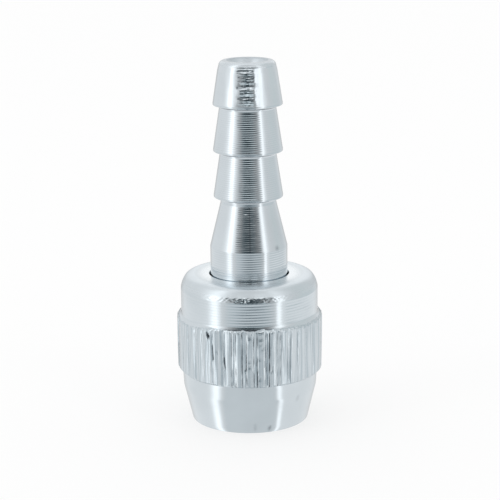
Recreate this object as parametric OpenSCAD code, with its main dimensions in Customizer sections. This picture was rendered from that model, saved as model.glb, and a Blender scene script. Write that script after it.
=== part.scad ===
// Barbed hose tail with a captive, knurled swivel nut for a valve port.
// It stands on the rim of the nut's mouth, on z = 0, with the hose tail pointing up.

/* [Hose barbs] */
// Diameter over the barb crests
barb_crest_d = 7.5; // [7.1:0.1:8]
// Diameter of the neck at the top of each cone but the top one
barb_root_d = 6.15; // [5.8:0.05:6.5]
// Number of barbs
barb_count = 3; // [2:1:5]
// Distance from one barb's underside to the next
barb_pitch = 5; // [4:0.1:6]
// Height of the short cylindrical land on each crest
barb_land = 0.3; // [0.2:0.05:0.6]
// Height of the plain neck that parts each cone from the barb above it
barb_neck = 0.4; // [0.2:0.05:0.6]
// Length of the top barb, from its underside to the end of the tail
tip_len = 4.75; // [4:0.05:6]
// Diameter of the tail's end, before its edge is rounded
tip_d = 6.15; // [5.8:0.05:6.5]
// Radius of the rounded edge at the tail's end
tip_round = 0.55; // [0.3:0.05:0.7]

/* [Tail and shank] */
// Diameter of the flow bore
bore_d = 3.6; // [3:0.1:4.2]
// Width of the countersink at the bore's mouth in the tail's end
sink_w = 0.4; // [0.2:0.05:0.45]
// Depth of that countersink
sink_depth = 0.6; // [0.3:0.05:0.8]
// Diameter of the neck under the lowest barb
neck_d = 6.05; // [5.7:0.05:6.5]
// Height of the neck under the lowest barb
neck_len = 0.6; // [0.3:0.1:1.2]
// Height of the long cone from the shank up to the neck
taper_len = 4.8; // [3:0.1:7]
// Diameter of the plain shank that the nut turns on
shank_d = 8.4; // [8:0.05:8.6]
// Height of the shank that shows above the nut
shank_show = 3.15; // [1.5:0.05:6]
// Thickness of the flange that holds the nut captive
flange_t = 2; // [1.6:0.1:3]

/* [Coupling nut] */
// Outer diameter of the nut's mouth
mouth_d = 12.85; // [12.6:0.05:13.4]
// Bevel on the outer edge of the mouth
mouth_edge = 0.15; // [0.1:0.05:0.25]
// Height at which the mouth's cone ends
cone_h = 3.9; // [3:0.1:4.6]
// Diameter at the top of the mouth's cone
cone_d = 14.65; // [14.2:0.05:14.8]
// Diameter of the skirt just under the knurl
skirt_d = 14.85; // [14.7:0.05:15]
// Height at which the knurl starts
skirt_h = 5.6; // [5:0.1:6.4]
// Diameter of the plain turned band above the knurl
band_d = 15; // [14.6:0.05:15.2]
// Thickness of the nut's top wall, which bears on the flange
top_wall = 3.1; // [2:0.05:4]
// How far the top edge is rounded inwards
shoulder_in = 0.8; // [0.4:0.1:1.5]
// How far the top edge is rounded downwards
shoulder_down = 1.5; // [0.8:0.1:2]

/* [Knurl] */
// Diameter over the knurl at its upper end
knurl_d = 16; // [15.8:0.05:16.6]
// Diameter over the knurl at its lower end, where it runs out a little
knurl_low_d = 15.86; // [15.8:0.02:16.6]
// Length of the knurl along the nut
knurl_len = 6.5; // [4:0.1:7]
// Number of straight teeth
knurl_teeth = 38; // [24:2:60]
// Depth of the grooves, measured from the diameter at the upper end
knurl_depth = 0.26; // [0.2:0.01:0.38]
// Width of each groove's flat floor
knurl_floor = 0.12; // [0.08:0.01:0.25]
// Angle between a groove's two flanks
knurl_angle = 80; // [40:1:90]
// Bevel at both ends of the teeth
knurl_bevel = 0.22; // [0.1:0.01:0.3]
// Angle that the teeth are turned by, about the nut's axis
knurl_turn = 6; // [0:0.5:9]

/* [Port thread] */
// Diameter of the bore inside the thread, the minor diameter of 7/16-20
thread_bore_d = 9.9; // [9.7:0.05:10.1]
// Length of the threaded wall
thread_len = 7.4; // [6:0.1:8]
// Lead-in bevel at the mouth
lead_in = 0.8; // [0.5:0.05:1]

/* [Gasket] */
// Thickness of the gasket
gasket_t = 2.8; // [2.4:0.1:3.4]
// Bore of the gasket
gasket_bore_d = 4.6; // [4.2:0.1:5]
// Height of the cone in its lower face, which a port's nose seals on
gasket_cone_h = 1.7; // [1.2:0.05:2]
// How far the gasket's edge reaches behind the thread, which keeps it in
gasket_grip = 0.35; // [0.2:0.05:0.5]

/* [Core depressor] */
// Thickness of the legs, which fill the cup in the tail's flange
leg_t = 1.3; // [1:0.05:1.5]
// Width of each leg
leg_w = 1.1; // [0.9:0.05:1.3]
// Number of legs
leg_count = 3; // [3:1:4]
// How far the legs reach out over the gasket
leg_lap = 0.4; // [0.25:0.05:0.5]
// Diameter of the hub that joins the legs
hub_d = 2.2; // [2.1:0.05:2.6]
// Diameter of the pin
pin_d = 1.6; // [1.3:0.05:2]
// Length of the pin under the legs
pin_len = 2.5; // [1.8:0.05:2.7]
// Bevel at the pin's end
pin_bevel = 0.25; // [0.1:0.05:0.4]

/* [Clearances] */
// Gap between the shank and the hole in the nut's top
hole_gap = 0.2; // [0.1:0.01:0.25]
// Gap by which the flange passes the thread when the nut is put on
entry_gap = 0.1; // [0.05:0.01:0.15]
// Gap around the flange in its chamber
chamber_gap = 0.15; // [0.1:0.01:0.25]
// Gap around the gasket in its groove
groove_gap = 0.35; // [0.2:0.01:0.45]
// Room over the gasket in its groove
groove_room = 0.3; // [0.2:0.01:0.6]
// Play between the gasket and the end of the thread
low_play = 0.1; // [0.05:0.01:0.2]
// Play between the flange and the nut's top wall
high_play = 0.15; // [0.05:0.01:0.25]
// Gap around the depressor's legs in their cup
cup_gap = 0.1; // [0.05:0.01:0.15]

/* [Hidden] */
$fn = 96;
// Steps in a rounded edge
edge_steps = 8;
// Reach of a cutting or bounding shape past what it cuts
over = 0.2;
// Angle of the depressor's first leg
first_leg = 90;

// Heights inside the nut, from the mouth up
thread_top = lead_in + thread_len;
gasket_base = thread_top + low_play;
flange_base = gasket_base + gasket_t;
flange_top = flange_base + flange_t;
seat_z = flange_top + high_play;
nut_top = seat_z + top_wall;
groove_top = flange_base + groove_room;

// Diameters inside the nut
gasket_d = thread_bore_d + 2 * gasket_grip;
groove_d = gasket_d + 2 * groove_gap;
flange_d = thread_bore_d - 2 * entry_gap;
chamber_d = flange_d + 2 * chamber_gap;
hole_d = shank_d + 2 * hole_gap;
legs_d = gasket_bore_d + 2 * leg_lap;
cup_d = legs_d + 2 * cup_gap;

// Heights along the tail
taper_base = nut_top + shank_show;
neck_base = taper_base + taper_len;
barb_base = neck_base + neck_len;
tail_top = barb_base + (barb_count - 1) * barb_pitch + tip_len;

// Knurl
root_r = knurl_d / 2 - knurl_depth;
groove_spread = tan(knurl_angle / 2);

// Points of a quarter ellipse that turns from the level face at angle 90 to the wall at angle 0
function rounded_edge(r, z, in, down) = [
    for (i = [0 : edge_steps])
        let (a = 90 - 90 * i / edge_steps)
        [r - in + in * cos(a), z - down + down * sin(a)]
];

// One barb of the outline, listed from its narrow neck down to its underside
function barb_outline(z) = [
    [barb_root_d / 2, z + barb_pitch],
    [barb_root_d / 2, z + barb_pitch - barb_neck],
    [barb_crest_d / 2, z + barb_land],
    [barb_crest_d / 2, z]
];

module hose_tail() {
    top_barb = barb_base + (barb_count - 1) * barb_pitch;
    outline = concat(
        [[bore_d / 2, tail_top - sink_depth], [bore_d / 2 + sink_w, tail_top]],
        rounded_edge(tip_d / 2, tail_top, tip_round, tip_round),
        [[barb_crest_d / 2, top_barb + barb_land], [barb_crest_d / 2, top_barb]],
        [
            for (i = [barb_count - 2 : -1 : 0])
                each barb_outline(barb_base + i * barb_pitch)
        ],
        [
            [neck_d / 2, barb_base],
            [neck_d / 2, neck_base],
            [shank_d / 2, taper_base],
            [shank_d / 2, flange_top],
            [flange_d / 2, flange_top],
            [flange_d / 2, flange_base],
            [cup_d / 2, flange_base],
            [cup_d / 2, flange_base + leg_t],
            [bore_d / 2, flange_base + leg_t]
        ]
    );
    color([0.80, 0.83, 0.86])
        rotate_extrude()
            polygon(outline);
}

// Toothed bar, wider than the knurl, with one straight groove between each two teeth
module toothed_bar() {
    r_out = knurl_d / 2 + over;
    half_floor = knurl_floor / 2;
    half_out = half_floor + (r_out - root_r) * groove_spread;
    groove = [[r_out, -half_out], [root_r, -half_floor], [root_r, half_floor], [r_out, half_out]];
    linear_extrude(knurl_len)
        polygon([
            for (i = [0 : knurl_teeth - 1])
                let (a = knurl_turn + 360 * (i + 0.5) / knurl_teeth)
                for (p = groove)
                    [p.x * cos(a) - p.y * sin(a), p.x * sin(a) + p.y * cos(a)]
        ]);
}

// Bevelled envelope that trims the teeth to their height
module knurl_envelope() {
    rotate_extrude()
        polygon([
            [0, 0],
            [knurl_low_d / 2 - knurl_bevel, 0],
            [knurl_low_d / 2, knurl_bevel],
            [knurl_d / 2, knurl_len - knurl_bevel],
            [knurl_d / 2 - knurl_bevel, knurl_len],
            [0, knurl_len]
        ]);
}

module nut_blank() {
    rotate_extrude()
        polygon(concat(
            [
                [0, 0],
                [mouth_d / 2 - mouth_edge, 0],
                [mouth_d / 2, mouth_edge],
                [cone_d / 2, cone_h],
                [skirt_d / 2, skirt_h],
                [band_d / 2, skirt_h + knurl_bevel]
            ],
            [
                for (i = [edge_steps : -1 : 0])
                    rounded_edge(band_d / 2, nut_top, shoulder_in, shoulder_down)[i]
            ],
            [[0, nut_top]]
        ));
}

// Everything that is bored out of the nut, from under the mouth to over the top
module nut_cavity() {
    lead_d = thread_bore_d + 2 * lead_in;
    rotate_extrude()
        polygon([
            [0, -over],
            [lead_d / 2, -over],
            [lead_d / 2, 0],
            [thread_bore_d / 2, lead_in],
            [thread_bore_d / 2, thread_top],
            [groove_d / 2, thread_top],
            [groove_d / 2, groove_top],
            [chamber_d / 2, groove_top],
            [chamber_d / 2, seat_z],
            [hole_d / 2, seat_z],
            [hole_d / 2, nut_top + over],
            [0, nut_top + over]
        ]);
}

module coupling_nut() {
    color([0.70, 0.75, 0.79])
        difference() {
            union() {
                nut_blank();
                translate([0, 0, skirt_h])
                    intersection() {
                        toothed_bar();
                        knurl_envelope();
                    }
            }
            nut_cavity();
        }
}

module gasket() {
    cone_base_d = gasket_bore_d + 2 * gasket_cone_h;
    color([0.13, 0.13, 0.14])
        rotate_extrude()
            polygon([
                [cone_base_d / 2, gasket_base],
                [gasket_d / 2, gasket_base],
                [gasket_d / 2, flange_base],
                [gasket_bore_d / 2, flange_base],
                [gasket_bore_d / 2, gasket_base + gasket_cone_h]
            ]);
}

// Legs whose round ends centre the pin in the cup, with the flow passing between them
module core_depressor() {
    color([0.80, 0.66, 0.36])
        union() {
            translate([0, 0, flange_base])
                intersection() {
                    union() {
                        for (i = [0 : leg_count - 1])
                            rotate(first_leg + 360 * i / leg_count)
                                translate([0, -leg_w / 2, 0])
                                    cube([legs_d, leg_w, leg_t]);
                        cylinder(d = hub_d, h = leg_t);
                    }
                    cylinder(d = legs_d, h = leg_t);
                }
            rotate_extrude()
                polygon([
                    [0, flange_base - pin_len],
                    [pin_d / 2 - pin_bevel, flange_base - pin_len],
                    [pin_d / 2, flange_base - pin_len + pin_bevel],
                    [pin_d / 2, flange_base + leg_t],
                    [0, flange_base + leg_t]
                ]);
        }
}

hose_tail();
coupling_nut();
gasket();
core_depressor();
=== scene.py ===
import math

import bpy
import numpy as np
from mathutils import Matrix, Vector


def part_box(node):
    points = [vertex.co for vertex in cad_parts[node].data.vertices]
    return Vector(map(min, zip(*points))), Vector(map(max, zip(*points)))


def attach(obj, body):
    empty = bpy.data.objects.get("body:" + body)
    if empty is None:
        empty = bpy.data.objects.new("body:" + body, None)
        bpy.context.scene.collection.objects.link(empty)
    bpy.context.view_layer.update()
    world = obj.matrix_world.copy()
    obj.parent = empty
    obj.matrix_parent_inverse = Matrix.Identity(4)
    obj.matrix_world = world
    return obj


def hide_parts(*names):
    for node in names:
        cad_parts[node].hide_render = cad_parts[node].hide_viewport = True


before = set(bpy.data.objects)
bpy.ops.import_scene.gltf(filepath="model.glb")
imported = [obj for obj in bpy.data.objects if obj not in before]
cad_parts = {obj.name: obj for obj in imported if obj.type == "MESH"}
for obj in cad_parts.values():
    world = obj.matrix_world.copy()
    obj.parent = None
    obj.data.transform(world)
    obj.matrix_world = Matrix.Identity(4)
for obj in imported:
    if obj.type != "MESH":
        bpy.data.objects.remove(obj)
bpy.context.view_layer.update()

MM = 0.001
TURN = 2 * math.pi
SHARP_DEG = 32
rng = np.random.default_rng(11)


# Sizes of the hose tail in millimetres; heights are above the nut's mouth

TAIL_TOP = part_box("hose_tail")[1].z / MM
BORE_R = 1.8
SINK_R, SINK_DEPTH = 2.2, 0.6
TIP_R, TIP_ROUND = 3.075, 0.55
TIP_BASE = TAIL_TOP - TIP_ROUND
TIP_FACE_R = 2.8
CREST_R = 3.75
LAND_TOP, LAND_BASE = 0.28, 0.06
SLOPE_BASE = 0.34
BARB_BASES = (34.9, 29.9, 24.9)
ROOT_R, ROOT_DROP = 3.075, 0.4
NECK_R, NECK_DROP = 3.025, 0.3
FILLET = 0.3
NECK_BASE = 24.3
TAPER_BASE = 19.5
SHANK_R = 4.2
FLANGE_R, FLANGE_TOP, FLANGE_BASE = 4.9, 13.1, 11.1
FLANGE_BEVEL = 0.08
CUP_R, CUP_TOP = 2.8, 12.4
TAIL_COLUMNS = 120
FINE_STEP = 0.036

# Turning marks on the tail: feed, depth and, where their flanks are straight, the share that faces up
BARB_FEED, BARB_DEPTH, BARB_SHARE = 0.222, 0.0080, 0.66
CONE_DEPTH = 0.0068
SHANK_FEED, SHANK_DEPTH, SHANK_SHARE = 0.252, 0.0085, 0.6

# Sizes of the coupling nut

NUT_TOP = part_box("coupling_nut")[1].z / MM
LEAD = 0.8
MOUTH_R, MOUTH_BEVEL = 6.425, 0.15
CONE_Z, CONE_R = 3.9, 7.325
SKIRT_Z, SKIRT_R, SKIRT_MEAN_R = 5.6, 7.425, 7
KNURL_TOP, RIM_DROP = 12.1, 0.22
RIM_Z = KNURL_TOP - RIM_DROP
KNURL_R, KNURL_LOW_R = 8.0, 7.93
KNURL_ROOT = 7.74
KNURL_BEVEL = 0.22
TEETH = 38
FIRST_GROOVE = math.radians(6 - 90)
BAND_R = 7.5
BAND_FEED, BAND_DEPTH = 0.302, 0.0086
SHOULDER_Z = NUT_TOP - 1.5
FLAT_TOP_R = 6.05
HOLE_R, HOLE_BEVEL = 4.34, 0.08
SEAT_Z, CHAMBER_R = 13.25, 5.0
GROOVE_Z, GROOVE_TOP_Z, GASKET_ROOM_R = 8.2, 11.4, 5.65
THREAD_MINOR, THREAD_MAJOR, THREAD_PITCH = 4.95, 5.555, 1.27
THREAD_CREST, THREAD_FLANK = 0.25, 0.275
THREAD_RUNOUT = 0.35
INNER_EVERY = 8

# Sizes of the gasket

GASKET_LOW, GASKET_HIGH = 8.3, 11.1
GASKET_R, GASKET_BORE, GASKET_CONE = 5.3, 2.3, 1.7
GASKET_EDGE = 0.08
GASKET_COLUMNS = 96
GASKET_SHRINK = 0.996


# Mesh tools

def waves(count, z_periods, orders, size):
    """Smooth noise over height and angle, as a function: a sum of sines that closes round the axis."""
    ks = TURN / rng.uniform(*z_periods, count)
    ms = rng.integers(orders[0], orders[1] + 1, count) * rng.choice((-1, 1), count)
    phases = rng.uniform(0, TURN, count)
    sizes = size * rng.uniform(0.5, 1, count) / math.sqrt(count)

    def noise(z, a):
        total = 0
        for k, m, p, s in zip(ks, ms, phases, sizes):
            total = total + s * np.sin(k * z + m * a + p)
        return total

    return noise


def path(points):
    """Rows along a path of (radius, height, step, kind); step and kind hold as far as the next point."""
    r, z, kinds = [], [], []
    for (r0, z0, step, kind), (r1, z1, _, _) in zip(points, points[1:]):
        n = max(1, round(math.hypot(r1 - r0, z1 - z0) / step))
        for k in range(n):
            r.append(r0 + (r1 - r0) * k / n)
            z.append(z0 + (z1 - z0) * k / n)
            kinds.append(kind)
    return np.array(r), np.array(z), np.array(kinds)


def degrees_right(a):
    """Angles about the axis as degrees to the right of the front."""
    return np.degrees(np.mod(a + math.pi / 2 + math.pi, TURN) - math.pi)


def window(z, low, high, soft):
    """1 between two heights, easing to 0 at both."""
    return np.clip((z - low) / soft, 0, 1) * np.clip((high - z) / soft, 0, 1)


def bell(value, middle, width):
    """1 at the middle and falling off to both sides over about that width."""
    return np.exp(-(((value - middle) / width) ** 2))


def scallops(z, a, feed, depth):
    """Height of the ridges that a round-nosed tool leaves at that feed, winding round the axis."""
    u = np.mod(z / feed - a / TURN, 1)
    return depth * ((2 * u - 1) ** 2 - 0.5)


def ridges(z, a, feed, depth, share):
    """The same with straight flanks, of which the one that faces up takes that share of the feed."""
    u = np.mod(z / feed - a / TURN, 1)
    return depth * np.where(u < 1 - share, u / (1 - share), (1 - u) / share)


def dent(z, a, at_z, at_deg, size, r):
    """Bell-shaped spot of that size round a place: its height and its degrees to the right of the front."""
    da = np.mod(a - math.radians(at_deg - 90) + math.pi, TURN) - math.pi
    return np.exp(-((z - at_z) ** 2 + (r * da) ** 2) / (2 * size**2))


def nick(z, a, start, end, size):
    """Row of such spots on the knurl that join into a line between two places."""
    best = np.zeros(np.broadcast_shapes(z.shape, a.shape))
    for t in np.linspace(0, 1, 24):
        at_z, at_deg = (p + t * (q - p) for p, q in zip(start, end))
        best = np.maximum(best, dent(z, a, at_z, at_deg, size, KNURL_R))
    return best


def quads(rows, cols, start=0, loop=False, flip=False):
    """Faces between the rows of a grid that closes round the axis, and with loop along its path too."""
    i = np.arange(rows if loop else rows - 1)[:, None]
    j = np.arange(cols)[None, :]
    k = (j + 1) % cols
    n = (i + 1) % rows
    corners = [i * cols + j, i * cols + k, n * cols + k, n * cols + j]
    if flip:
        corners = corners[::-1]
    return start + np.stack([np.broadcast_to(c, (len(i), cols)) for c in corners], -1).reshape(-1, 4)


def ring_points(r, z, a):
    """Points of a grid from its radii, heights and angles."""
    r, z, a = np.broadcast_arrays(r, z, a)
    return np.stack([r * np.cos(a), r * np.sin(a), z], -1).reshape(-1, 3)


def build(name, points, faces, **values):
    """Smooth mesh from points in millimetres; each value is kept as an attribute of the points."""
    mesh = bpy.data.meshes.new(name)
    mesh.from_pydata((points * MM).tolist(), [], [list(map(int, f)) for f in faces])
    mesh.update()
    mesh.polygons.foreach_set("use_smooth", [True] * len(mesh.polygons))
    mesh.set_sharp_from_angle(angle=math.radians(SHARP_DEG))
    for key, value in values.items():
        layer = mesh.attributes.new(key, "FLOAT", "POINT")
        layer.data.foreach_set("value", np.asarray(value, np.float32).ravel())
    obj = bpy.data.objects.new(name, mesh)
    bpy.context.scene.collection.objects.link(obj)
    return obj


# Hose tail

# Chatter on the first barb: heights, and how many degrees further than the barb its surface faces up there
CHATTER = (
    (39.10, 0), (38.99, 0), (38.96, -5.1), (38.90, -5.1), (38.87, 0), (38.76, 0), (38.72, 6.2),
    (38.64, 6.2), (38.60, 0), (38.55, 0), (38.51, -4), (38.36, -4), (38.32, 0), (38.28, 0), (38.24, 6.2),
    (38.13, 6.2), (38.08, 0), (38.02, 0), (37.99, -5), (37.91, -5), (37.87, 5), (37.79, 5), (37.75, 0),
    (37.70, 0), (37.66, -5.1), (37.46, -5.1), (37.41, 0), (37.26, 0), (37.21, 8.5), (36.87, 8.5),
    (36.82, 0), (36.74, 0), (36.71, -5.1), (36.65, -5.1), (36.62, 0), (36.52, 0), (36.48, -4), (36.37, -4),
    (36.34, -5.1), (36.20, -5.1), (36.16, 0), (36.10, 0), (36.06, 6.2), (35.90, 6.2), (35.86, 0),
    (35.77, 0), (35.73, -4.2), (35.63, -4.2), (35.59, 0), (35.54, 0), (35.50, -5.1), (35.38, -5.1),
    (35.34, 0), (35.22, 0),
)

# Where the chatter is strong, in degrees to the right of the front, and the mean radius there
CHATTER_FROM, CHATTER_TO = -20, 18
CHATTER_R = 3.3

# Lobes of the chatter: degrees to the right of the front, and how many degrees the surface faces right
LOBES = (
    (-16, 0), (-12, 2), (-9, 0), (-6, -5), (-3, -2), (1, 0), (4, 3), (7, 4), (9, 1), (12, 2), (14.5, 8),
    (18, 7), (22, 3), (26, 0), (32, -1.5), (80, -1.5), (85, 0),
)

# Pits on the tail: height, degrees to the right of the front, size and depth
TAIL_PITS = (
    (31.9, -3, 0.06, 0.012), (26.3, -6, 0.06, 0.010), (25.6, -2, 0.07, 0.014), (23.6, -6, 0.05, 0.008),
    (21.9, -17, 0.10, 0.006),
)

# Scratch down the third barb: its lower and upper end, degrees to the right of the front, size and depth
SCRATCH = (26.0, 27.1, -12, 0.035, 0.012)

# Stain on the shank: height, degrees to the right of the front, size and darkness
SHANK_STAIN = (19.75, 47, 0.17, 0.55)


def tail_outline():
    """Rows of the tail: down its outside, round the flange and back up its bore."""
    rows = [
        (BORE_R, TAIL_TOP - SINK_DEPTH, 0.2, "plain"),
        (SINK_R - 0.03, TAIL_TOP - 0.04, 0.1, "plain"),
        (SINK_R + 0.03, TAIL_TOP, 0.12, "plain"),
    ]
    for degrees in range(90, 0, -10):
        t = math.radians(degrees)
        rows.append((
            TIP_R - TIP_ROUND + TIP_ROUND * math.cos(t), TIP_BASE + TIP_ROUND * math.sin(t), 0.08, "plain",
        ))
    rows += [
        (TIP_R + 0.005, TIP_BASE, FINE_STEP, "chatter"),
        (TIP_R + 0.066, TIP_BASE - 0.2, FINE_STEP, "chatter"),
        (TIP_R + 0.135, TIP_BASE - 0.5, FINE_STEP, "chatter"),
    ]
    below = ((ROOT_R, ROOT_DROP, "barb"), (ROOT_R, ROOT_DROP, "barb"), (NECK_R, NECK_DROP, "neck"))
    for base, (root, drop, kind) in zip(BARB_BASES, below):
        rows += [
            (CREST_R - 0.02, base + SLOPE_BASE, 0.03, "plain"),
            (CREST_R, base + LAND_TOP, 0.09, "plain"),
            (CREST_R, base + LAND_BASE, 0.05, "plain"),
            (CREST_R - 0.05, base, 0.15, "plain"),
        ]
        for degrees in range(0, 90, 15):
            t = math.radians(degrees)
            rows.append((root + FILLET * (1 - math.sin(t)), base - drop * (1 - math.cos(t)), 0.05, "neck"))
        rows.append((root, base - drop, BARB_FEED / 8, kind))
    return path(rows + [
        (NECK_R, NECK_BASE, FINE_STEP, "cone"),
        (SHANK_R, TAPER_BASE, FINE_STEP, "shank"),
        (SHANK_R, NUT_TOP - 0.4, 0.4, "plain"),
        (SHANK_R, FLANGE_TOP, 0.3, "plain"),
        (FLANGE_R - FLANGE_BEVEL, FLANGE_TOP, 0.1, "plain"),
        (FLANGE_R, FLANGE_TOP - FLANGE_BEVEL, 0.3, "plain"),
        (FLANGE_R, FLANGE_BASE + FLANGE_BEVEL, 0.1, "plain"),
        (FLANGE_R - FLANGE_BEVEL, FLANGE_BASE, 0.3, "plain"),
        (CUP_R, FLANGE_BASE, 0.3, "plain"),
        (CUP_R, CUP_TOP, 0.3, "plain"),
        (BORE_R, CUP_TOP, 0.6, "plain"),
        (BORE_R, TAIL_TOP - SINK_DEPTH, 1, "end"),
    ])


def chatter(radius, height, kind, a):
    """How far chatter pushes the first barb's surface out, and where it does so: strongly only in front."""
    z, right = height[:, None], degrees_right(a)
    chattered = (kind == "chatter")[:, None]
    low = BARB_BASES[0] + SLOPE_BASE
    first = chattered * window(z, low, TIP_BASE, 0.1)
    in_front = np.clip((right - CHATTER_FROM) / 6, 0, 1) * np.clip((CHATTER_TO - right) / 5, 0, 1)
    strong = first * (0.15 + 0.85 * in_front)

    # The table's slopes are summed up down the barb, and the sum is brought back to nothing at its foot
    wavy_z = z + waves(6, (2, 6), (2, 9), 0.03)(z, a)
    patchy = 1.0 + waves(12, (0.4, 1.5), (10, 40), 0.4)(z, a)
    heights, facing_up = np.array(CHATTER)[::-1].T
    slope = np.radians(np.interp(wavy_z, heights, facing_up, 0, 0) * patchy) * (strong > 0)
    steps = np.append(0, -np.diff(height))[:, None] * chattered
    ridged = np.cumsum(np.tan(slope) * steps, 0)
    down = np.clip((TIP_BASE - z) / (TIP_BASE - low), 0, 1)
    push = strong * (ridged - down * ridged[kind == "chatter"][-1])

    # The lobes are summed up round the barb in the same way
    order = np.argsort(right[0])
    facing_right = np.interp(right[0][order], *np.array(LOBES).T)
    lobes = np.zeros(TAIL_COLUMNS)
    lobes[order] = -np.cumsum(np.tan(np.radians(facing_right))) * CHATTER_R * TURN / TAIL_COLUMNS
    lobes = lobes - lobes[order[-1]] * np.clip((right[0] + 180) / 360, 0, 1)
    lobed = ((height >= BARB_BASES[0]) & (radius > TIP_R) & (kind != "neck"))[:, None]
    push += lobed * np.clip((TAIL_TOP - 0.1 - z) / 0.6, 0, 1) * lobes

    push += 0.3 * first * (1 - bell(right, 0, 30)) * waves(6, (4, 12), (16, 30), 0.02)(z, a)
    push += strong * waves(16, (0.11, 0.3), (8, 50), 0.0034)(z, a)
    return push, strong


def tail():
    radius, height, kind = tail_outline()
    a = (np.arange(TAIL_COLUMNS) * TURN / TAIL_COLUMNS)[None, :]
    r, z = radius[:, None], height[:, None]
    push, strong = chatter(radius, height, kind, a)

    # Turning marks
    fade = 1 + waves(8, (0.8, 4), (1, 12), 0.25)(z, a)
    for above, base in zip(BARB_BASES, BARB_BASES[1:]):
        inside = (kind == "barb")[:, None] * window(z, base + SLOPE_BASE, above - ROOT_DROP, 0.12)
        push += inside * ridges(z, a, BARB_FEED, BARB_DEPTH, BARB_SHARE) * fade
    inside = (kind == "cone")[:, None] * window(z, TAPER_BASE, NECK_BASE, 0.08)
    push += inside * scallops(z, a, BARB_FEED, CONE_DEPTH) * fade
    inside = (kind == "shank")[:, None] * window(z, NUT_TOP, TAPER_BASE, 0.08)
    push += inside * ridges(z, a, SHANK_FEED, SHANK_DEPTH, SHANK_SHARE) * fade
    turned = np.isin(kind, ["chatter", "barb", "cone", "shank"])[:, None]
    push += turned * waves(10, (0.12, 0.4), (4, 40), 0.0008)(z, a)

    # Pits, scratch and stain, painted shade in the fillets under the barbs, and a darker, rougher top face
    # on the tip
    for at_z, at_deg, size, deep in TAIL_PITS:
        push -= turned * deep * dent(z, a, at_z, at_deg, size, r)
    low, high, at_deg, size, deep = SCRATCH
    push -= turned * deep * window(z, low, high, 0.1) * dent(np.zeros_like(z), a, 0, at_deg, size, r)
    at_z, at_deg, size, dark = SHANK_STAIN
    wear = turned * dark * dent(z, a, at_z, at_deg, size, r)
    for base in BARB_BASES:
        # Painted shade: a dark band on each neck just under its barb's crest, where the crest shades it
        wear += 0.75 * window(z, base - 0.24, base - 0.04, 0.05) * (r < CREST_R - 0.1)
    wear += 0.22 * (z > TAIL_TOP - 0.12) * (r < TIP_FACE_R)

    satin = np.broadcast_to((z > TIP_BASE) * np.where(r < SINK_R + 0.1, 1.6, 0.9), push.shape)
    faces = quads(*push.shape, loop=True, flip=True)
    streak = strong * np.sin(a) ** 8
    return build("tail", ring_points(r + push, z, a), faces, wear=wear, satin=satin, streak=streak)


# Coupling nut

# Grooves in front: number, then degrees to the right of the front, half width of the floor, share of the
# full depth, and how dark the painted shade is in lines at the left and right foot of its sides
GROOVES = {
    30: (-66.5, 0.10, 0.12, 0, 0), 31: (-57.4, 0.08, 0.15, 0, 0), 32: (-47.3, 0.08, 0.16, 0, 0.1),
    33: (-38.4, 0.10, 0.18, 0, 0.2), 34: (-30.1, 0.06, 0.16, 0.1, 0.6), 35: (-21.3, 0.07, 0.26, 0.1, 0.5),
    36: (-12.55, 0.216, 0.28, 0.7, 0.8), 37: (-4.3, 0.237, 0.38, 1.3, 1.1), 0: (4.45, 0.19, 0.36, 1.0, 1.3),
    1: (14.0, 0.19, 0.36, 0.8, 2.1), 2: (23.2, 0.175, 0.27, 0.7, 0.5), 3: (32.2, 0.126, 0.22, 0.4, 0.5),
    4: (41.2, 0.08, 0.17, 0.2, 0), 5: (51.0, 0.10, 0.16, 0, 0), 6: (60.8, 0.10, 0.15, 0, 0),
    7: (71.0, 0.10, 0.12, 0, 0),
}

# Teeth in front: number of the groove on their left, then degrees that they face to the right, and crown
FACES = {
    32: (-2, 0.1), 33: (5, 0.08), 34: (8, 0.05), 35: (-10, 0.06), 36: (-4, 0.1), 37: (2, 0.25),
    0: (3, 0.15), 1: (5, 0.08), 2: (4, 0.12), 3: (0, 0.15),
}

# Burrs on the knurl's upper rim: degrees to the right of the front, half width and height
BURRS = ((-28.2, 4, 0.10), (-5.1, 2.3, 0.09), (7.3, 2.3, 0.10), (11.1, 2.4, 0.18), (19.4, 2.8, 0.12))

# Pits on the knurl: height, degrees to the right of the front, size and depth
KNURL_PITS = (
    (7.65, -3.2, 0.08, 0.08), (8.56, -0.3, 0.08, 0.06), (7.99, -0.3, 0.08, 0.06), (11.3, -0.5, 0.10, 0.05),
    (11.1, 8.6, 0.10, 0.06), (10.5, 8.6, 0.09, 0.04), (7.75, 17.4, 0.08, 0.08), (7.45, 17.5, 0.08, 0.07),
    (9.5, -26.3, 0.09, 0.04), (10.1, 11.0, 0.08, 0.05), (8.9, 7.0, 0.08, 0.05), (6.6, 7.8, 0.08, 0.05),
)

# Nicks in the knurl: height and degrees to the right of the front of both ends, size, depth and darkness
NICKS = (
    ((11.4, -35.0), (10.95, -33.4), 0.065, 0.22, 2.4), ((10.1, -30.3), (8.6, -29.5), 0.045, 0.10, 1.3),
    ((8.85, -20.7), (7.7, -19.8), 0.045, 0.10, 1.2),
)

# Stains on the skirt: height, degrees to the right of the front, size and darkness
STAINS = ((0.75, 4.5, 0.13, 0.55), (0.45, 18.5, 0.14, 0.9), (3.6, 45, 0.16, 0.35), (2.4, 52, 0.1, 0.2))

# Steps up the nut's shoulder, each with its rise and the degrees that it leans in
SHOULDER = (
    (0.02, 6), (0.28, 12.5), (0.12, 14.5), (0.10, 17.5), (0.08, 21), (0.15, 24), (0.15, 27), (0.15, 30),
    (0.10, 35), (0.08, 41), (0.07, 49), (0.06, 57), (0.05, 65), (0.04, 72), (0.03, 78), (0.02, 83),
)


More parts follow.
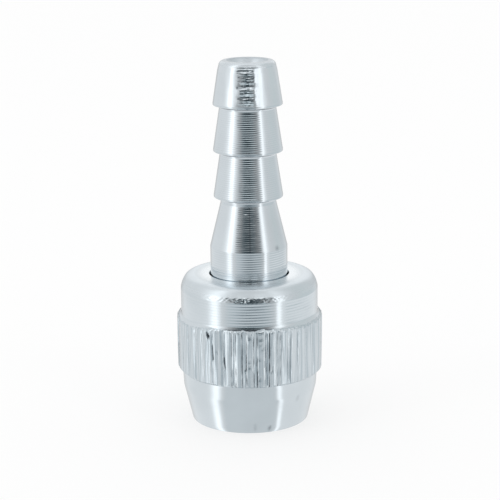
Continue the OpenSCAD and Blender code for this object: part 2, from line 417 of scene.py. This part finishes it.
def nut_outline():
    """Rows of the nut's outside, from the mouth's face up to the hole in the top."""
    rows = [
        (THREAD_MINOR + LEAD, 0, 0.3, "face"),
        (MOUTH_R - MOUTH_BEVEL, 0, 0.1, "plain"),
        (MOUTH_R - 0.04, 0.04, 0.1, "plain"),
        (MOUTH_R, MOUTH_BEVEL, 0.42, "skirt"),
        (CONE_R - 0.01, CONE_Z - 0.08, 0.09, "skirt"),
        (CONE_R + 0.005, CONE_Z + 0.06, 0.42, "skirt"),
        (SKIRT_R, SKIRT_Z - 0.1, 0.1, "skirt"),
        (SKIRT_R, SKIRT_Z, 0.5, "skirt"),
        (KNURL_LOW_R - KNURL_BEVEL, SKIRT_Z, 0.12, "knurl"),
        (KNURL_LOW_R, SKIRT_Z + KNURL_BEVEL, 0.2, "knurl"),
        (KNURL_R, RIM_Z - KNURL_BEVEL, 0.16, "knurl"),
        (KNURL_R - KNURL_BEVEL, RIM_Z, 0.12, "knurl"),
        (BAND_R + 0.090, KNURL_TOP - 0.21, 0.07, "foot"),
        (BAND_R + 0.060, KNURL_TOP - 0.08, 0.07, "foot"),
        (BAND_R + 0.034, KNURL_TOP + 0.03, 0.07, "foot"),
        (BAND_R + 0.012, KNURL_TOP + 0.12, 0.05, "foot"),
        (BAND_R, KNURL_TOP + 0.17, 0.06, "band"),
        (BAND_R, SHOULDER_Z, 0.07, "round"),
    ]
    r_now, z_now = BAND_R, SHOULDER_Z
    for rise, lean in SHOULDER:
        r_now -= rise * math.tan(math.radians(lean))
        z_now += rise
        rows.append((r_now, min(z_now, NUT_TOP), 0.07, "round"))
    r, z, kind = path(rows + [
        (FLAT_TOP_R, NUT_TOP, 0.5, "top"),
        (HOLE_R + 0.05, NUT_TOP, 0.2, "top"),
        (HOLE_R, NUT_TOP - HOLE_BEVEL, 1, "end"),
    ])
    return np.append(r, HOLE_R), np.append(z, NUT_TOP - HOLE_BEVEL), np.append(kind, "top")


def groove_places():
    """Angle of each groove."""
    even = FIRST_GROOVE + np.arange(TEETH) * TURN / TEETH
    places = even + rng.uniform(-0.05, 0.05, TEETH) * TURN / TEETH
    for n, (deg, *_) in GROOVES.items():
        places[n] = even[n] + math.remainder(math.radians(deg - 90) - even[n], TURN)
    return places


def knurl_columns(places):
    """Angles of the outer columns, closest at the grooves, with each one's tooth and its place on it."""
    near = np.array([0, 0.08, 0.14, 0.18, 0.22, 0.27, 0.33, 0.45]) / KNURL_R
    after = np.append(places[1:], places[0] + TURN)
    middle = (places + after) / 2
    a = np.concatenate([places[:, None] + near, middle[:, None], after[:, None] - near[:0:-1]], 1)
    tooth = np.repeat(np.arange(TEETH), a.shape[1])
    return a.ravel()[None, :], tooth, ((a - middle[:, None]) * KNURL_R).ravel()


def grooves(a, z, right, tooth, places):
    """How far below the knurl's crest each point lies, and how dark the painted shade at the foot of the
    grooves' sides is there.
    """
    floor, share = rng.uniform(0.08, 0.18, TEETH), rng.uniform(0.3, 0.8, TEETH)
    dark = np.full((2, TEETH), 0.2)
    for n, (_, half, part, left_line, right_line) in GROOVES.items():
        floor[n], share[n], dark[:, n] = half, part, (left_line, right_line)
    drift = waves(4, (9, 25), (3, 40), 0.02)(z, a) + waves(10, (0.2, 0.9), (20, 160), 0.010)(z, a)
    uneven = 1 + waves(14, (2, 9), (10, 60), 0.2)(z, a)
    darkening = np.clip(0.75 + waves(12, (1.2, 6), (3, 24), 0.7)(z, a), 0.1, 1.2)
    plain = 0.12 + 0.45 * bell(right, -60, 28) + 0.25 * bell(right, 60, 28)
    reach = np.clip((RIM_Z - KNURL_BEVEL - plain - z) / 0.25 + 1, 0, 1)
    depth, groove_shade = np.zeros(drift.shape), np.zeros(drift.shape)
    after = np.append(places[1:], places[0] + TURN)
    for n, at in ((tooth, places[tooth]), ((tooth + 1) % TEETH, after[tooth])):
        u = (a - at) * KNURL_R + drift
        side = 0.10 + 0.16 * (1 - share[n])
        s = np.clip((floor[n] + side - np.abs(u)) / side, 0, 1)
        full = (KNURL_R - KNURL_ROOT) * np.clip(share[n] * uneven, 0.05, 1.05)
        depth = np.maximum(depth, reach * full * s * s * (3 - 2 * s))
        # Painted shade in a line along the foot of each side of the groove, strongest in front
        for way, strength in ((-1, dark[0]), (1, dark[1])):
            groove_shade += reach * darkening * strength[n] * bell(u, way * floor[n], 0.045)
    return depth, groove_shade


def knurl_cut(a, z, right, tooth, off, places):
    """Radius of the teeth, which are crowned and lean a little, and the painted shade in the grooves
    between them.
    """
    depth, groove_shade = grooves(a, z, right, tooth, places)
    face, crown = rng.uniform(-3, 3, TEETH), rng.uniform(0.08, 0.30, TEETH)
    for n, shape in FACES.items():
        face[n], crown[n] = shape
    slope = np.tan(np.radians(face))[tooth]
    crown = crown[tooth] * off**2 + slope * off + 0.4 * np.abs(slope)
    drop = rng.uniform(0, 0.02, TEETH)[tooth]
    rough = waves(14, (0.5, 3), (20, 150), 0.0035)(z, a) + waves(16, (6, 22), (60, 200), 0.012)(z, a)
    return KNURL_R - depth + np.minimum(rough, 0.01) - drop - crown, groove_shade


def band_marks(kind, a, z, right):
    """Turning rings on the band, chatter where it starts to turn in, and slight waves, on the skirt too."""
    is_band, is_round, is_skirt = ((kind == name)[:, None] for name in ("band", "round", "skirt"))
    fade = 1 + waves(6, (1, 4), (1, 6), 0.4)(z, a)
    fade = fade * (0.3 + 0.7 * np.cos(np.radians(right)) ** 4)
    ringed = is_band * window(z, KNURL_TOP + 0.20, SHOULDER_Z, 0.1)
    marks = ringed * scallops(z, a, BAND_FEED, BAND_DEPTH) * fade
    ragged = waves(18, (0.2, 0.5), (20, 130), 0.0165)(z, a) * (0.35 + 0.65 * np.cos(np.radians(right)) ** 6)
    marks += (is_round | is_band) * window(z, SHOULDER_Z + 0.01, SHOULDER_Z + 0.60, 0.08) * ragged
    return marks + (is_skirt | is_band | is_round) * waves(8, (0.3, 1.5), (2, 14), 0.0012)(z, a)


def rim_shift(is_knurl, a, z):
    """How far the knurl's ends are moved up: burrs on its upper rim, and both ends abraded on the left."""
    right = degrees_right(a)
    burrs = 0.04 + waves(12, (50, 60), (10, 110), 0.04)(0, a)
    for deg, half, tall in BURRS:
        burrs = burrs + tall * bell(right, deg, half)
    shift = is_knurl * np.clip((z - KNURL_TOP + 1.1) / 0.9, 0, 1) ** 2 * burrs
    rising = np.clip((z - KNURL_TOP + 1.2) / 0.9, 0, 1)
    falling = np.clip((KNURL_TOP + 1.3 - z) / 1.2, 0, 1)
    shift = shift - 0.30 * bell(right, -62, 22) * rising * falling
    return shift + 0.33 * bell(right, -78, 20) * bell(z, SKIRT_Z, 0.5)


def thread_radius(z, a):
    """Radius of the right-hand internal thread, whose crest and flank are shares of its pitch."""
    u = np.mod(z / THREAD_PITCH - a / TURN, 1)
    cut = np.clip(np.minimum(u - THREAD_CREST, 1 - u) / THREAD_FLANK, 0, 1)
    cut = cut * np.clip((GROOVE_Z - 0.05 - z) / THREAD_RUNOUT, 0, 1)
    return THREAD_MINOR + (THREAD_MAJOR - THREAD_MINOR) * cut


def nut_inside(a):
    """Radii and heights of the nut's inside: the thread, the gasket's groove and the flange's chamber."""
    r, z, kind = path([
        (THREAD_MINOR + LEAD, 0, 0.12, "lead"),
        (THREAD_MINOR, LEAD, 0.09, "thread"),
        (THREAD_MINOR, GROOVE_Z, 0.3, "plain"),
        (GASKET_ROOM_R, GROOVE_Z, 0.8, "plain"),
        (GASKET_ROOM_R, GROOVE_TOP_Z, 0.5, "plain"),
        (CHAMBER_R, GROOVE_TOP_Z, 0.8, "plain"),
        (CHAMBER_R, SEAT_Z, 0.3, "plain"),
        (HOLE_R, SEAT_Z, 1.1, "plain"),
        (HOLE_R, NUT_TOP - HOLE_BEVEL, 1, "end"),
    ])
    z = z[:, None]
    radius = np.repeat(r[:, None], a.shape[1], 1)
    threaded = np.isin(kind, ["lead", "thread"])[:, None]
    radius = np.where(threaded, np.maximum(radius, thread_radius(z, a)), radius)
    # The first ring lies on the first ring of the outside, without thread
    radius[0] = THREAD_MINOR + LEAD
    return radius, z


def nut_faces(outside, inside):
    """Faces of both shells and of the seams between their first and their last rings."""
    (rows_out, cols_out), (rows_in, cols_in) = outside, inside
    start = rows_out * cols_out
    faces = quads(rows_out, cols_out).tolist() + quads(rows_in, cols_in, start, flip=True).tolist()
    last_out, last_in = start - cols_out, start + (rows_in - 1) * cols_in
    for j in range(cols_in):
        k = (j + 1) % cols_in
        fan = [(INNER_EVERY * j + s) % cols_out for s in range(INNER_EVERY + 1)]
        faces.append([start + j, start + k] + fan[::-1])
        faces.append([last_in + k, last_in + j] + [last_out + f for f in fan])
    return faces


def nut():
    r, height, kind = nut_outline()
    places = groove_places()
    a, tooth, off = knurl_columns(places)
    z, right = height[:, None], degrees_right(a)
    radius = np.repeat(r[:, None], a.shape[1], 1)

    is_knurl = (kind == "knurl")[:, None]
    cut, groove_shade = knurl_cut(a, z, right, tooth, off, places)
    radius = np.where(is_knurl, np.minimum(radius, cut), radius)
    wear = is_knurl * groove_shade
    for at_z, at_deg, size, deep in KNURL_PITS:
        spot = is_knurl * dent(z, a, at_z, at_deg, size, KNURL_R)
        radius -= deep * spot
        wear += 8 * deep * spot
    for start, end, size, deep, dark in NICKS:
        spot = is_knurl * nick(z, a, start, end, size)
        radius -= deep * spot
        wear += dark * spot

    radius += band_marks(kind, a, z, right)
    for at_z, at_deg, size, dark in STAINS:
        wear += (kind == "skirt")[:, None] * dark * dent(z, a, at_z, at_deg, size, SKIRT_MEAN_R)

    # Beside the front, the corner between the knurl's rim and the band is filled; in front a dark line of
    # painted shade lies in that corner
    filled = KNURL_R - KNURL_BEVEL - 0.9 * (z - RIM_Z) - 0.3 * bell(right, 0, 26)
    radius = np.where(z > RIM_Z - 0.001, np.maximum(radius, filled), radius)
    wear += (kind == "foot")[:, None] * 1.25 * bell(z, KNURL_TOP - 0.15, 0.085) * bell(right, 0, 20)
    shifted = z + rim_shift(is_knurl, a, z)

    inner_a = a[:, ::INNER_EVERY]
    inner_r, inner_z = nut_inside(inner_a)
    points = np.vstack([ring_points(radius, shifted, a), ring_points(inner_r, inner_z, inner_a)])
    # Painted reflection: a lighter tint round the hole in the nut's top, where the shank is reflected
    painted_reflection = (z > NUT_TOP - 0.02) * np.clip((5.9 - radius) / 0.9, 0, 0.9)
    # Satin on the nut's top; where it is strongest, its lighter tint is a painted sheen
    satin = np.interp(radius, (4.6, 5.7, 6.0, 7.0), (0.25, 0.9, 1.1, 0.9))
    satin = satin * np.clip((z - SHOULDER_Z - 0.55) / 0.1, 0, 1)
    streak = is_knurl * np.full(radius.shape, 0.82)
    looks = dict(wear=(wear, 0.15), satin=(satin, 0), streak=(streak, 0), painted_reflection=(painted_reflection, 0))
    values = {
        name: np.concatenate([outside.ravel(), np.full(inner_r.size, inside)])
        for name, (outside, inside) in looks.items()
    }
    return build("nut", points, nut_faces(radius.shape, inner_r.shape), **values)


# Gasket

def gasket():
    cone_r, e = GASKET_BORE + GASKET_CONE, GASKET_EDGE
    r, z, _ = path([
        (GASKET_BORE, GASKET_LOW + GASKET_CONE + e, 0.2, "side"),
        (GASKET_BORE + e, GASKET_LOW + GASKET_CONE - e, 0.2, "cone"),
        (cone_r - e, GASKET_LOW + e, 0.06, "edge"),
        (cone_r + e / 2, GASKET_LOW, 0.2, "face"),
        (GASKET_R - e, GASKET_LOW, 0.06, "edge"),
        (GASKET_R, GASKET_LOW + e, 0.3, "side"),
        (GASKET_R, GASKET_HIGH - e, 0.06, "edge"),
        (GASKET_R - e, GASKET_HIGH, 0.3, "face"),
        (GASKET_BORE + e, GASKET_HIGH, 0.06, "edge"),
        (GASKET_BORE, GASKET_HIGH - e, 0.2, "side"),
        (GASKET_BORE, GASKET_LOW + GASKET_CONE + e, 0.2, "end"),
    ])
    r, z = r[:, None], z[:, None]
    a = (np.arange(GASKET_COLUMNS) * TURN / GASKET_COLUMNS)[None, :]
    hollows = np.minimum(waves(8, (0.4, 2), (2, 12), 0.008)(z, a), 0)
    middle_r, middle_z = (GASKET_BORE + GASKET_R) / 2, (GASKET_LOW + GASKET_HIGH) / 2
    radius = middle_r + (r - middle_r) * GASKET_SHRINK + hollows * np.sign(r - middle_r)
    height = middle_z + (z - middle_z) * GASKET_SHRINK
    return build("gasket_ring", ring_points(radius, height, a), quads(*radius.shape, loop=True))


# Materials

class Nodes:
    """Short calls to add and link shader nodes."""

    def __init__(self, tree):
        self.tree = tree

    def add(self, kind):
        return self.tree.nodes.new("ShaderNode" + kind)

    def link(self, a, b):
        self.tree.links.new(a, b)

    def attribute(self, name):
        node = self.add("Attribute")
        node.attribute_name = name
        return node.outputs["Fac"]

    def noise(self, vector, scale, detail=3, rough=0.5):
        node = self.add("TexNoise")
        node.inputs["Scale"].default_value = scale
        node.inputs["Detail"].default_value = detail
        node.inputs["Roughness"].default_value = rough
        self.link(vector, node.inputs["Vector"])
        return node.outputs["Fac"]

    def stretch(self, vector, scale):
        node = self.add("Mapping")
        node.inputs["Scale"].default_value = scale
        self.link(vector, node.inputs["Vector"])
        return node.outputs["Vector"]

    def remap(self, value, low, high, to_low, to_high):
        node = self.add("MapRange")
        for socket, number in zip(node.inputs[1:], (low, high, to_low, to_high)):
            socket.default_value = number
        self.link(value, node.inputs[0])
        return node.outputs[0]

    def math(self, op, a, b=None, clamp=False):
        node = self.add("Math")
        node.operation = op
        node.use_clamp = clamp
        for socket, value in zip(node.inputs, (a, b)):
            if isinstance(value, (int, float)):
                socket.default_value = value
            elif value is not None:
                self.link(value, socket)
        return node.outputs[0]

    def mix(self, fac, a, b, blend="MIX"):
        node = self.add("Mix")
        node.data_type = "RGBA"
        node.blend_type = blend
        for socket, value in ((node.inputs[0], fac), (node.inputs[6], a), (node.inputs[7], b)):
            if isinstance(value, (int, float)):
                socket.default_value = value
            elif isinstance(value, tuple):
                socket.default_value = (*value, 1)
            else:
                self.link(value, socket)
        return node.outputs[2]

    def ramp(self, value, stops):
        node = self.add("ValToRGB")
        marks = node.color_ramp.elements
        for i, (at, colour) in enumerate(stops):
            mark = marks[i] if i < 2 else marks.new(at)
            mark.position = at
            mark.color = (*colour, 1) if isinstance(colour, tuple) else (colour, colour, colour, 1)
        self.link(value, node.inputs[0])
        return node.outputs[0]

    def bump(self, height, strength, distance, bsdf):
        node = self.add("Bump")
        node.inputs["Strength"].default_value = strength
        node.inputs["Distance"].default_value = distance
        self.link(height, node.inputs["Height"])
        self.link(node.outputs["Normal"], bsdf.inputs["Normal"])


def new_material(name):
    mat = bpy.data.materials.new(name)
    mat.use_nodes = True
    return mat, Nodes(mat.node_tree), mat.node_tree.nodes["Principled BSDF"]


def plated(name, colour, streaked, satin_and_sheen_colour, wear_and_shade_colour, rough, scratch, grain_scale, streaks):
    """Bright plating with fine turning marks, varied by the mesh's wear (real wear and stains, and painted
    shade), streak, satin and painted_reflection.
    """
    mat, n, bsdf = new_material(name)
    where = n.add("TexCoord").outputs["Object"]
    cloud = n.noise(where, 260, 4)
    rings = n.noise(n.stretch(where, (90, 90, 5200)), 1, 3, 0.6)
    grain = n.noise(where, 5200, 3, 0.6)
    along = n.noise(n.stretch(where, grain_scale), 1, 1.5, 0.5)
    wear, streak, satin = (n.attribute(key) for key in ("wear", "streak", "satin"))
    darkening = n.math("MULTIPLY", wear, n.remap(grain, 0.3, 0.7, 0.75, 1.1), clamp=True)

    tint = n.mix(n.remap(cloud, 0.35, 0.65, 0, 1), colour, tuple(0.955 * c for c in colour))
    tint = n.mix(n.math("MULTIPLY", streak, n.remap(along, 0.38, 0.62, 0, 1)), tint, streaked)
    # Where satin is strongest the tint changes: a lighter painted sheen on the nut's top, slightly darker
    # in the tail's countersink
    tint = n.mix(n.remap(satin, 0.92, 1.1, 0, 1), tint, satin_and_sheen_colour)
    # Painted reflection: a lighter tint round the hole in the nut's top
    tint = n.mix(n.attribute("painted_reflection"), tint, (0.79, 0.835, 0.86))
    # Darkened towards wear_and_shade_colour by real wear and stains, and by painted shade
    n.link(n.mix(darkening, tint, wear_and_shade_colour), bsdf.inputs["Base Color"])

    gloss = n.math("ADD", n.remap(rings, 0.3, 0.7, *rough), n.math("MULTIPLY", satin, 0.22))
    gloss = n.math("ADD", gloss, n.math("MULTIPLY", wear, 0.25))
    gloss = n.math("ADD", gloss, n.remap(cloud, 0.35, 0.65, -0.02, 0.02), clamp=True)
    n.link(gloss, bsdf.inputs["Roughness"])

    height = n.math("ADD", rings, n.math("MULTIPLY", grain, 0.5))
    height = n.math("ADD", height, n.math("MULTIPLY", n.math("MULTIPLY", streak, streaks), along))
    n.bump(height, scratch, 2e-6, bsdf)
    bsdf.inputs["Metallic"].default_value = 1.0
    return mat


def rubber():
    mat, n, bsdf = new_material("moulded rubber")
    where = n.add("TexCoord").outputs["Object"]
    cloud = n.noise(where, 900, 5)
    grain = n.noise(where, 9000, 3)
    tint = n.mix(n.remap(cloud, 0.35, 0.65, 0, 1), (0.022, 0.022, 0.024), (0.040, 0.040, 0.043))
    n.link(tint, bsdf.inputs["Base Color"])
    n.link(n.remap(grain, 0.3, 0.7, 0.55, 0.78), bsdf.inputs["Roughness"])
    n.bump(grain, 0.3, 1e-5, bsdf)
    return mat


def brass():
    mat, n, bsdf = new_material("turned brass")
    where = n.add("TexCoord").outputs["Object"]
    cloud = n.noise(where, 700, 4)
    rings = n.noise(n.stretch(where, (150, 150, 6000)), 1, 3)
    tint = n.mix(n.remap(cloud, 0.3, 0.7, 0, 1), (0.80, 0.61, 0.30), (0.62, 0.45, 0.20))
    n.link(tint, bsdf.inputs["Base Color"])
    n.link(n.remap(rings, 0.3, 0.7, 0.22, 0.4), bsdf.inputs["Roughness"])
    n.bump(rings, 0.25, 4e-6, bsdf)
    bsdf.inputs["Metallic"].default_value = 1.0
    return mat


# The pieces

tail_obj = tail()
tail_obj.data.materials.append(plated(
    "bright plating", (0.625, 0.675, 0.71), streaked=(0.54, 0.60, 0.64), satin_and_sheen_colour=(0.60, 0.65, 0.685),
    wear_and_shade_colour=(0.16, 0.18, 0.2), rough=(0.04, 0.10), scratch=0.25, grain_scale=(3600, 3600, 1500), streaks=40,
))
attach(tail_obj, "hose_tail")
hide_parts("hose_tail")

nut_obj = nut()
nut_obj.data.materials.append(plated(
    "satin plating", (0.62, 0.675, 0.71), streaked=(0.44, 0.505, 0.545), satin_and_sheen_colour=(0.69, 0.745, 0.78),
    wear_and_shade_colour=(0.08, 0.095, 0.11), rough=(0.09, 0.15), scratch=0.3, grain_scale=(5200, 5200, 170), streaks=90,
))
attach(nut_obj, "coupling_nut")
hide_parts("coupling_nut")

gasket_obj = gasket()
gasket_obj.data.materials.append(rubber())
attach(gasket_obj, "hose_tail")
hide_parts("gasket")

pin_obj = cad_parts["core_depressor"]
pin_obj.data.materials.clear()
pin_obj.data.materials.append(brass())
edges = pin_obj.modifiers.new("soft edges", "BEVEL")
edges.width = 0.05 * MM
edges.segments = 2
edges.limit_method = "ANGLE"
edges.angle_limit = math.radians(40)


# Floor, light and camera

# How many degrees further round to the sides the lamp panels stand when they are seen low in the metal
PANEL_SLIDE = 28

# The world's light by direction: degrees to the right of the front, or degrees up, each with its brightness

# Below the horizon all round, as the upright surfaces show it from the camera's height
LOW = (
    (-180, 1.01), (-100, 1.00), (-84, 1.01), (-74, 1.07), (-69, 1.3), (-64, 1.6), (-57.5, 1.65), (-53, 1.3),
    (-48, 0.92), (-42, 0.87), (-34, (0.79, 0.825, 0.84)), (-20, (0.725, 0.765, 0.79)),
    (-6, (0.675, 0.715, 0.74)), (15, (0.665, 0.705, 0.73)), (22, (0.685, 0.725, 0.75)),
    (30, (0.745, 0.78, 0.795)), (40, 0.83), (45, 0.92), (48, 1.45), (52.5, 1.5), (57, 1.02), (64, 0.99),
    (77, 1.0), (140, 1.0), (180, 1.01),
)

# Above the horizon all round, as the barbs and the cone show it, with the dark room behind the camera
UP = (
    (-180, 0.98), (-130, 0.99), (-92, 1.0), (-84, 1.06), (-74, 1.25), (-66, 1.7), (-57, 1.75), (-50, 1.3),
    (-41, 0.88), (-33, 0.57), (-26, 0.39), (-18, (0.17, 0.195, 0.205)), (-11, (0.075, 0.10, 0.11)),
    (-2, (0.045, 0.062, 0.07)), (5, (0.05, 0.068, 0.077)), (11, (0.11, 0.135, 0.145)),
    (18, (0.18, 0.20, 0.208)), (26, 0.28), (33, 0.46), (39, 0.72), (44, 1.15), (48, 1.5), (53, 1.5),
    (58, 1.15), (65, 0.92), (74, 0.85), (100, (0.80, 0.835, 0.83)), (140, 0.85), (180, 0.95),
)

# Up and down in front: a strip at the horizon, the dark room, and the tent over it
FRONT = (
    (-15, 0.50), (-14, (0.23, 0.275, 0.295)), (-8.5, (0.26, 0.30, 0.32)), (-6.5, (0.40, 0.44, 0.46)),
    (-4.5, (0.98, 1.05, 1.07)), (0, (1.06, 1.13, 1.15)), (19, (0.34, 0.38, 0.40)), (22, 0.72), (25, 1.42),
    (35, 1.38), (43, 0.95), (56, 0.88), (90, 0.80),
)

# Up and down behind the object
BEHIND = (
    (-90, 0.9), (-40, 0.86), (-20, 0.76), (-15.2, 0.76), (-13.5, 0.66), (2, 0.68), (7, 0.86), (12, 1.12),
    (90, 1.08),
)

# The tent's seams over the front
SEAMS = (
    (-46, 0.8), (-36, 0.85), (-28, 0.65), (-20, 0.85), (-14, 1.05), (-9, 0.95), (-4, 0.65), (3, 0.75),
    (11, 1.05), (22, 1.1), (31, 0.7), (38, 0.75), (46, 0.85),
)


def floor():
    half, drop = 3.0, 0.02
    mesh = bpy.data.meshes.new("floor")
    corners = [(-half, -half, 0), (half, -half, 0), (half, half, 0), (-half, half, 0)]
    mesh.from_pydata(corners, [], [(0, 1, 2, 3)])
    obj = bpy.data.objects.new("floor", mesh)
    bpy.context.scene.collection.objects.link(obj)
    obj.location.z = -drop * MM
    mat, n, bsdf = new_material("white paper")
    where = n.add("TexCoord").outputs["Object"]
    n.link(n.mix(n.noise(where, 60, 3), (0.935,) * 3, (0.945,) * 3), bsdf.inputs["Base Color"])
    bsdf.inputs["Roughness"].default_value = 1.0
    bsdf.inputs["Specular IOR Level"].default_value = 0.0
    both = n.add("MixShader")
    n.link(n.math("MULTIPLY", n.add("LightPath").outputs["Is Camera Ray"], 0.7), both.inputs[0])
    n.link(bsdf.outputs[0], both.inputs[1])
    n.link(n.add("Emission").outputs[0], both.inputs[2])
    n.link(both.outputs[0], mat.node_tree.nodes["Material Output"].inputs["Surface"])
    mesh.materials.append(mat)
    obj.visible_glossy = False
    return obj


def studio():
    """A white tent: dark round the camera, brighter over it, a lamp panel on each side of the front."""
    world = bpy.data.worlds.new("studio")
    bpy.context.scene.world = world
    world.use_nodes = True
    n = Nodes(world.node_tree)
    split = n.add("SeparateXYZ")
    n.link(n.add("TexCoord").outputs["Generated"], split.inputs[0])
    x, y, z = split.outputs
    turn = n.math("DIVIDE", n.math("ARCTAN2", x, n.math("MULTIPLY", y, -1)), TURN)
    turn = n.math("ADD", turn, 0.5)
    rise = n.math("ADD", n.math("DIVIDE", n.math("ARCSINE", z), math.pi), 0.5)

    def across(*stops, at=turn):
        return n.ramp(at, [((d + 180) / 360, v) for d, v in stops])

    def upward(*stops):
        return n.ramp(rise, [((d + 90) / 180, v) for d, v in stops])

    def both(a, b):
        return n.math("MULTIPLY", a, b)

    # Seen low in the metal, the lamp panels stand further round to the sides
    sinking = upward((-42, 1), (-22, 0))
    slide = both(sinking, across((-150, 0.5), (-100, 1), (-25, 1), (25, 0), (100, 0), (150, 0.5)))
    slide = n.math("SUBTRACT", slide, both(sinking, 0.5))
    shifted = n.math("ADD", turn, both(slide, PANEL_SLIDE / 360))
    low = across(*LOW, at=shifted)
    beside = across((-62, 0.3), (-52, 0), (58, 0), (66, 1), (120, 1), (150, 0.3))
    low = n.mix(both(beside, upward((-15, 0), (-14.2, 1))), low, (0.75, 0.79, 0.80))
    centre = across((-46, 0), (-40, 1), (40, 1), (46, 0), at=shifted)
    low = n.mix(upward((-21, 1), (-16.2, 0)), low, n.mix(centre, low, (0.80, 0.82, 0.83)))
    sides = n.mix(upward((-6, 0), (3, 1)), low, across(*UP))
    edge = across((-46, 0), (-39, 0.85), (36, 0.85), (44, 0))
    edge = both(edge, upward((12.5, 0), (14.5, 1), (17, 1), (19, 0)))
    sides = n.mix(edge, sides, (0.09, 0.11, 0.12))

    # What stands in front, over the dark room
    seamed = upward((20, 0), (24, 1), (44, 1), (56, 0))
    front = n.mix(seamed, upward(*FRONT), across(*SEAMS), blend="MULTIPLY")
    in_front = across((-46, 0), (-26, 0.35), (-12, 0.8), (-3, 1), (6, 1), (16, 0.8), (34, 0.5), (46, 0))
    in_front = both(in_front, upward((-15.5, 0), (-14, 1), (-1, 1), (3, 0), (16.5, 0), (21, 1)))
    overhead = both(across((-46, 0), (-38, 1), (38, 1), (46, 0)), upward((21, 0), (25, 1)))
    light = n.mix(n.math("MAXIMUM", in_front, overhead), sides, front)
    combed = both(across((24, 0), (34, 0.5), (46, 0.5), (51, 0)), upward((-10, 0), (-5, 1), (0, 1), (4, 0)))
    light = n.mix(combed, light, (0.1, 0.11, 0.115))

    # What stands behind, the roof, and the camera's stand
    at_back = across((-180, 1), (-162, 1), (-140, 0), (140, 0), (162, 1), (180, 1))
    light = n.mix(at_back, light, upward(*BEHIND))
    roof = across((-180, 1.12), (-60, 1.1), (-30, 0.84), (30, 0.84), (60, 1.08), (180, 1.12))
    light = n.mix(upward((48, 0), (66, 1)), light, roof)
    stand = both(across((0, 0), (2, 0.5), (5, 0.5), (7, 0)), upward((12, 0), (16, 1), (32, 1), (40, 0)))
    light = n.mix(stand, light, (0.07, 0.075, 0.08))

    rays = n.add("LightPath").outputs
    seen = n.math("MAXIMUM", rays["Is Camera Ray"], rays["Is Transmission Ray"])
    back = world.node_tree.nodes["Background"]
    n.link(n.mix(seen, light, (1, 1, 1)), back.inputs["Color"])
    back.inputs["Strength"].default_value = 1.0


def overhead():
    """Soft lamp over the object, for the shadow on the floor."""
    lamp = bpy.data.lights.new("overhead", "AREA")
    lamp.shape = "DISK"
    lamp.size = 0.25
    lamp.energy = 0.05
    obj = bpy.data.objects.new("overhead", lamp)
    bpy.context.scene.collection.objects.link(obj)
    obj.location = (-0.08, -0.02, 0.45)
    aim = Vector(obj.location) - Vector((0, 0, 0.01))
    obj.rotation_euler = aim.to_track_quat("Z", "Y").to_euler()
    obj.visible_glossy = False
    obj.visible_camera = False
    return obj


def camera():
    """Camera fitted to the ellipses in the photograph."""
    photo_px, focal_px = 500, 1657
    place, tilt, roll = (0.00012, -0.1754, 0.06265), 14.02, -0.5
    data = bpy.data.cameras.new("camera")
    data.sensor_width = 36
    data.lens = focal_px / photo_px * data.sensor_width
    data.clip_start, data.clip_end = 0.005, 20
    obj = bpy.data.objects.new("camera", data)
    bpy.context.scene.collection.objects.link(obj)
    turned = Matrix.Rotation(math.radians(90 - tilt), 4, "X") @ Matrix.Rotation(math.radians(roll), 4, "Z")
    obj.matrix_world = Matrix.Translation(place) @ turned
    bpy.context.scene.camera = obj


floor()
studio()
overhead()
camera()
bpy.context.scene.view_settings.view_transform = "Standard"
